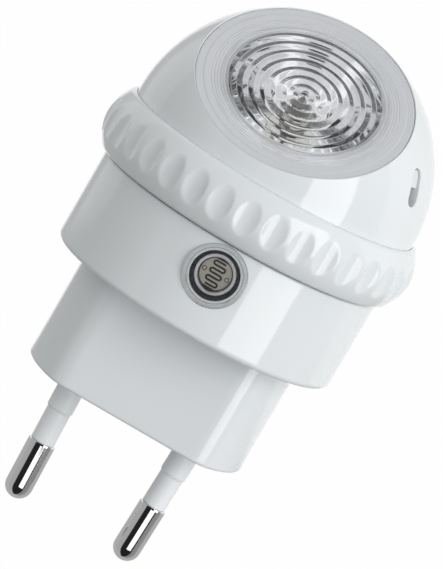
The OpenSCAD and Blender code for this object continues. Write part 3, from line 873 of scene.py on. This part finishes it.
def satin(name, colour, roughness, grain=1500, tint=0.94, sheen=0.5):
    """A satin moulded plastic with a fine grain."""
    made = Finish(name, colour, roughness, Specular_IOR_Level=sheen)
    made.vary_colour(made.noise(260), tuple(c * tint for c in colour))
    made.vary_roughness(made.noise(grain), roughness - 0.06, roughness + 0.08)
    made.bump(made.noise(grain * 2), 0.12, 0.00003)
    return made.material


def metal(name, colour, roughness, stretch=(1, 1, 1), scale=900, strength=0.05):
    """A metal with fine marks along one direction."""
    made = Finish(name, colour, roughness, Metallic=1.0)
    marks = made.noise(scale, stretch)
    made.vary_colour(made.noise(300), tuple(c * 0.93 for c in colour))
    made.vary_roughness(marks, roughness * 0.7, roughness * 1.4)
    made.bump(marks, strength, 0.00002)
    return made.material


def clear(name, colour, roughness, ior=LENS_IOR):
    """A clear moulded plastic with faint flow marks."""
    made = Finish(name, colour, roughness, IOR=ior, Transmission_Weight=1.0)
    made.bump(made.noise(500, detail=1.0), 0.02, 0.00001)
    return made.material


def laminate(name, colour, weave):
    """A lacquered board with the weave of its glass cloth."""
    made = Finish(name, colour, 0.35)
    made.vary_colour(made.noise(weave, (1, 1, 8)), tuple(c * 0.82 for c in colour))
    made.bump(made.noise(weave, (8, 1, 1)), 0.1, 0.00003)
    return made.material


FINISHES = {
    "white_housing": glossy_white,
    "white_inner": lambda: satin("inner_white", (0.8, 0.81, 0.82), 0.35),
    "sleeve": lambda: satin("sleeve_white", (0.94, 0.975, 0.99), 0.38),
    "pin_metal": lambda: metal("nickel", (0.74, 0.745, 0.735), 0.06, (1, 0.04, 1), 2500, 0.02),
    "contact_metal": lambda: metal("brass_strip", (0.72, 0.55, 0.26), 0.28, (1, 1, 12)),
    "screw_steel": lambda: metal("zinc_steel", (0.6, 0.6, 0.62), 0.3),
    "board_green": lambda: laminate("green_board", (0.02, 0.14, 0.05), 1800),
    "board_white": lambda: laminate("white_board", (0.8, 0.81, 0.81), 1800),
    "film_yellow": lambda: satin("film_case", (0.62, 0.4, 0.06), 0.25),
    "can_dark": lambda: satin("can_sleeve", (0.02, 0.03, 0.07), 0.22),
    "black_case": lambda: satin("epoxy_black", (0.02, 0.02, 0.022), 0.5),
    "resistor_tan": lambda: satin("resistor_lacquer", (0.55, 0.4, 0.24), 0.3),
    "header_ivory": lambda: satin("nylon_ivory", (0.78, 0.74, 0.62), 0.4),
    "sensor_face": lambda: satin("cell_ceramic", (0.68, 0.63, 0.53), 0.45, 3000, 0.8),
    "lead_metal": lambda: metal("tinned_wire", (0.7, 0.7, 0.7), 0.3),
    "sensor_rim": lambda: metal("rim_metal", (0.56, 0.57, 0.61), 0.35),
    # A black ring of painted shade, for the gap round the sensor's collar
    "black_rubber": lambda: satin("shade_ring_black", (0.006, 0.006, 0.009), 0.5, sheen=0.05),
    "clear_window": lambda: clear("cap_clear", (0.97, 0.98, 0.98), 0.02),
    "clear_lens": lambda: clear("lens_clear", (0.96, 0.965, 0.975), 0.01),
    "mirror_cup": lambda: metal("mirror_coat", (0.9, 0.91, 0.92), 0.02, strength=0.005),
    "washer_felt": lambda: satin("friction_grey", (0.2, 0.2, 0.21), 0.8, 1200, 0.7),
    "washer_steel": lambda: metal("stamped_steel", (0.6, 0.6, 0.62), 0.32),
    "led_clear": lambda: clear("led_epoxy", (0.97, 0.96, 0.9), 0.02, 1.53),
    "cable_grey": lambda: satin("cable_sheath", (0.25, 0.25, 0.26), 0.5),
}
made_finishes = {}


def finish(slot):
    """The material of a slot, made once."""
    if slot not in made_finishes:
        made_finishes[slot] = FINISHES[slot]()
    return made_finishes[slot]


def frosted():
    """The frosted plastic of the cap's barrel and of the lens's back rim."""
    return satin("cap_frost", (0.9, 0.91, 0.93), 0.4, 900, 0.98)


def rim_finish(clearness):
    """The lens's rim: a milky plastic that spreads the light that goes through it."""
    colour = tuple(c + HAZE_LIFT * clearness for c in HAZE)
    made = Finish("lens_haze", colour, HAZE_ROUGH * clearness, IOR=LENS_IOR,
                  Transmission_Weight=clearness)
    made.vary_colour(made.noise(120), tuple(c * 0.975 for c in colour))
    made.bump(made.noise(500, detail=1.0), 0.02, 0.00001)
    return made.material


def print_and_shade_finish():
    """The dark print of the meander on the cell, and the painted shade at the collar's lip."""
    return satin("print_and_shade_dark", (0.012, 0.01, 0.01), 0.4, sheen=0.15)


# ---------------------------------------------------------------- pieces

SLOTS = {part["node"]: part["material_slot"] for part in frame["record"]["subparts"]}


def stand_for(piece, body, node, material=None):
    """Gives a piece its node's finish or its own, and lets it ride and stand for the node."""
    piece.data.materials.append(finish(SLOTS[node]) if material is None else material)
    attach(piece, body)
    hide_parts(node)


def make_pieces():
    """All modelled pieces; the other nodes stay, with a procedural material."""
    stand_for(make_base(), "housing", "plug_base")
    stand_for(make_body(), "housing", "body_shell")
    for side, word in ((1, "left"), (-1, "right")):
        stand_for(make_pin("plug_pin_" + word, side), "housing", "pin_" + word)
        stand_for(make_sleeve("pin_sleeve_" + word, side), "housing", "sleeve_" + word)
    stand_for(make_window(), "housing", "sensor_window")
    stand_for(make_barrel(), "housing", "sensor_window", frosted())
    stand_for(make_shade_ring(), "housing", "sensor_gasket")
    stand_for(make_collar(), "housing", "sensor_collar")
    stand_for(make_cell(), "housing", "light_sensor")
    stand_for(make_track(), "housing", "light_sensor", print_and_shade_finish())
    stand_for(make_ring(), "head", "grip_ring")
    stand_for(make_dome(), "head", "head_dome")
    lens = make_lens()
    stand_for(lens, "head", "lens")
    finish_rim(lens)


def dress_frame():
    """Procedural materials for the nodes that stay."""
    for name, node in frame["nodes"].items():
        for material_slot in node.material_slots:
            material_slot.material = finish(SLOTS[name])


# ---------------------------------------------------------------- camera, light and floor

CAMERA_AIM = Vector((0, -0.035, 0))
CAMERA_DISTANCE = 0.65
CAMERA_AZIMUTH = 0.6
CAMERA_ELEVATION = 8.2
CAMERA_ROLL = 30.19
FOCAL_PX = 4713
IMAGE_W, IMAGE_H = 443, 569
SENSOR_WIDTH = 36
CLIP = (0.01, 20)
AIM_PX = (260.35, 193.92)


def make_camera():
    """The camera at the photograph's viewing angle, with the aim point on its pixel."""
    azimuth, elevation = math.radians(CAMERA_AZIMUTH), math.radians(CAMERA_ELEVATION)
    back = Vector((math.sin(azimuth) * math.cos(elevation), -math.sin(elevation),
                   math.cos(azimuth) * math.cos(elevation)))
    along = (ALONG_PLUG - back * ALONG_PLUG.dot(back)).normalized()
    across = along.cross(back)
    roll = math.radians(CAMERA_ROLL)
    right = across * math.cos(roll) + along * math.sin(roll)
    up = along * math.cos(roll) - across * math.sin(roll)
    place = CAMERA_AIM + back * CAMERA_DISTANCE
    off = Vector((AIM_PX[0] - IMAGE_W / 2, IMAGE_H / 2 - AIM_PX[1])) * (CAMERA_DISTANCE / FOCAL_PX)
    target = CAMERA_AIM - right * off.x - up * off.y
    back = (place - target).normalized()
    right = (right - back * right.dot(back)).normalized()
    up = back.cross(right)
    data = bpy.data.cameras.new("camera")
    data.sensor_width = SENSOR_WIDTH
    data.lens = FOCAL_PX * SENSOR_WIDTH / IMAGE_H
    data.clip_start, data.clip_end = CLIP
    camera = bpy.data.objects.new("camera", data)
    axes = Matrix((right, up, back)).transposed().to_4x4()
    camera.matrix_world = Matrix.Translation(place) @ axes
    bpy.context.scene.collection.objects.link(camera)
    bpy.context.scene.camera = camera


LIGHT_CENTRE = Vector((0, -0.03, 0))


def softbox(name, azimuth, low, high, distance, half_width, radiance, seen=True):
    """A lamp round the plug axis, azimuth degrees from the sensor side towards -X.

    It stands parallel to the axis and reaches from one elevation to another, both in degrees
    towards the head. Glossy surfaces mirror it where it is seen.
    """
    turn = math.radians(azimuth)
    bottom, top = (distance * math.tan(math.radians(e)) for e in (low, high))
    out = Vector((-math.sin(turn), 0, math.cos(turn)))
    across = ALONG_PLUG.cross(out)
    data = bpy.data.lights.new(name, "AREA")
    data.shape = "RECTANGLE"
    data.size = 2 * distance * math.tan(math.radians(half_width))
    data.size_y = top - bottom
    data.energy = radiance * data.size * data.size_y * math.pi
    lamp = bpy.data.objects.new(name, data)
    place = LIGHT_CENTRE + out * distance + ALONG_PLUG * (top + bottom) / 2
    axes = Matrix((across, ALONG_PLUG, out)).transposed().to_4x4()
    lamp.matrix_world = Matrix.Translation(place) @ axes
    lamp.visible_camera = False
    lamp.visible_glossy = seen
    lamp.visible_transmission = False
    bpy.context.scene.collection.objects.link(lamp)


def make_lights():
    """A tall softbox on the right, a low card that the pins mirror, and a fill lamp on the left."""
    softbox("key_softbox", azimuth=44.5, low=-14.5, high=42, distance=0.55, half_width=17,
            radiance=3.0)
    softbox("pin_card", azimuth=22, low=-20.3, high=-17, distance=0.40, half_width=19,
            radiance=1.6)
    softbox("left_softbox", azimuth=-60, low=5, high=45, distance=0.45, half_width=20,
            radiance=0.45, seen=False)


# Tones of the studio by azimuth (share of the full turn), as glossy and as clear surfaces see it
STUDIO = ((0.0, 0.6), (0.24, 0.6), (0.26, 0.5), (0.375, 0.5), (0.39, 0.02), (0.635, 0.02),
          (0.65, 0.3), (0.76, 0.35), (0.775, 1.05), (1.0, 1.05))
THROUGH = ((0.0, 0.75), (0.36, 0.75), (0.37, 1.2), (0.4, 1.2), (0.41, 0.8), (0.56, 0.8),
           (0.57, 1.2), (0.6, 1.2), (0.61, 0.75), (1.0, 0.75))
# A dark panel that only clear surfaces see: its sides by azimuth, and its lower edge by height
PANEL_SIDES = (0.465, 0.522)
PANEL_LOW = 0.65
PANEL_EDGE = 0.006
PANEL_TONE = 0.01
# Tones of the fill light by height, from the pins' side to the head's side
FILL = ((0.0, 0.1), (0.3, 0.22), (0.5, 0.55), (0.75, 0.6), (1.0, 0.5))


def make_world():
    """White to the camera, and otherwise a grey studio.

    Glossy surfaces see a dark sector in front, clear ones a small dark panel, and all others
    the fill light.
    """
    world = bpy.data.worlds.new("studio")
    bpy.context.scene.world = world
    world.use_nodes = True
    graph = Graph(world.node_tree)
    graph.tree.nodes.clear()
    place = graph.node("ShaderNodeTexCoord")
    parts = graph.node("ShaderNodeSeparateXYZ")
    graph.link(place.outputs["Generated"], parts.inputs[0])
    x, y, z = parts.outputs
    turn = graph.math("ARCTAN2", graph.math("MULTIPLY", x, -1.0), z)
    share = graph.math("MULTIPLY_ADD", turn, 1 / math.tau, 0.5)
    height = graph.math("MULTIPLY_ADD", y, -0.5, 0.5)
    rays = graph.node("ShaderNodeLightPath").outputs
    fill, studio = graph.steps(height, FILL), graph.steps(share, STUDIO)
    tone = graph.blend(rays["Is Glossy Ray"], fill, studio)
    high = graph.fade(height, PANEL_LOW - PANEL_EDGE, PANEL_LOW + PANEL_EDGE)
    panel = graph.math("MULTIPLY", graph.band(share, PANEL_SIDES, PANEL_EDGE), high)
    through = graph.blend(panel, graph.steps(share, THROUGH), PANEL_TONE)
    tone = graph.blend(rays["Is Transmission Ray"], tone, through)
    tone = graph.blend(rays["Is Camera Ray"], tone, 1.0)
    background = graph.node("ShaderNodeBackground", Color=(1, 1, 1, 1))
    graph.link(tone, background.inputs["Strength"])
    output = graph.node("ShaderNodeOutputWorld")
    graph.link(background.outputs[0], output.inputs["Surface"])


FLOOR_Z = -0.12
FLOOR_HALF = 2.0
FLOOR_GLOW = 0.98
# Tones in which the floor glows to glossy surfaces, as painted reflections: to the right, near
# the object, further left, and on a pale painted patch there. Fades run between two places across
# the axis (+X is left), and PINS_FADE runs along it. The patch ends along a slant, and on the
# pins' side the rest of the floor has the left tone all over.
FLOOR_RIGHT = 1.0
FLOOR_NEAR = 1.15
FLOOR_LEFT = 0.55
FLOOR_PATCH_GLOW = 1.05
RIGHT_FADE = (-0.08, 0.0)
NEAR_FADE = (0.058, 0.07)
PATCH_FADES = ((0.095, 0.135), (0.36, 0.48))
PATCH_END = 0.007
PATCH_SOFT = 0.006
PATCH_SLANT = 0.123
PINS_FADE = (-0.03, -0.02)
# Tones in which the floor glows to clear surfaces, and of a painted dark strip below the object
FLOOR_THROUGH = (0.7, 0.0)
STRIP_AT = (-0.12, 0.02)
STRIP_EDGE = 0.006


def floor_tones(made):
    """Painted tones in which the floor glows for glossy and for clear surfaces."""
    spot = made.node("ShaderNodeNewGeometry").outputs["Position"]
    parts = made.node("ShaderNodeSeparateXYZ")
    made.link(spot, parts.inputs[0])
    x, y, _ = parts.outputs
    ahead = made.math("MULTIPLY", y, -1.0)
    inside = made.math("SUBTRACT", *(made.fade(x, *ends) for ends in PATCH_FADES))
    short = made.fade(made.math("MULTIPLY_ADD", x, PATCH_SLANT, ahead),
                      PATCH_END - PATCH_SOFT, PATCH_END + PATCH_SOFT)
    past = made.blend(made.fade(ahead, *PINS_FADE), 1.0, made.fade(x, *NEAR_FADE))
    # Painted reflections for glossy surfaces: brighter near the object, darker further left, and a
    # pale painted patch there
    glossy = made.blend(made.fade(x, *RIGHT_FADE), FLOOR_RIGHT, FLOOR_NEAR)
    glossy = made.blend(past, glossy, FLOOR_LEFT)
    glossy = made.blend(made.math("MULTIPLY", inside, short), glossy, FLOOR_PATCH_GLOW)
    # For clear surfaces, a painted dark strip below the object in the floor's glow
    return glossy, made.blend(made.band(x, STRIP_AT, STRIP_EDGE), *FLOOR_THROUGH)


def make_floor():
    """A plain pale floor that glows white to the camera and keeps a small share of shadow.

    Glossy and clear surfaces see it glow in painted tones, which stand in for a studio's light and
    shade.
    """
    corners = [(-FLOOR_HALF, -FLOOR_HALF), (FLOOR_HALF, -FLOOR_HALF), (FLOOR_HALF, FLOOR_HALF),
               (-FLOOR_HALF, FLOOR_HALF)]
    mesh = bpy.data.meshes.new("floor")
    mesh.from_pydata([(x, y, FLOOR_Z) for x, y in corners], [], [(0, 1, 2, 3)])
    floor = bpy.data.objects.new("floor", mesh)
    bpy.context.scene.collection.objects.link(floor)
    made = Finish("floor_white", (0.8, 0.8, 0.8), 0.9)
    made.vary_colour(made.noise(6), (0.78, 0.78, 0.78))
    rays = made.node("ShaderNodeLightPath").outputs
    mirrored = made.math("MAXIMUM", rays["Is Glossy Ray"], rays["Is Transmission Ray"])
    shown = made.math("MAXIMUM", mirrored, rays["Is Camera Ray"])
    glossy, through = floor_tones(made)
    tone = made.blend(rays["Is Glossy Ray"], 1.0, glossy)
    tone = made.blend(rays["Is Transmission Ray"], tone, through)
    glow = made.node("ShaderNodeEmission")
    made.link(made.blend(rays["Is Camera Ray"], tone, 1.0), glow.inputs["Strength"])
    mix = made.node("ShaderNodeMixShader")
    made.feed(made.math("MULTIPLY", shown, FLOOR_GLOW), mix.inputs["Fac"])
    made.link(made.shader.outputs[0], mix.inputs[1])
    made.link(glow.outputs[0], mix.inputs[2])
    made.link(mix.outputs[0], made.tree.nodes["Material Output"].inputs["Surface"])
    mesh.materials.append(made.material)


make_pieces()
dress_frame()
make_camera()
make_lights()
make_world()
make_floor()
bpy.context.scene.view_settings.view_transform = "Standard"
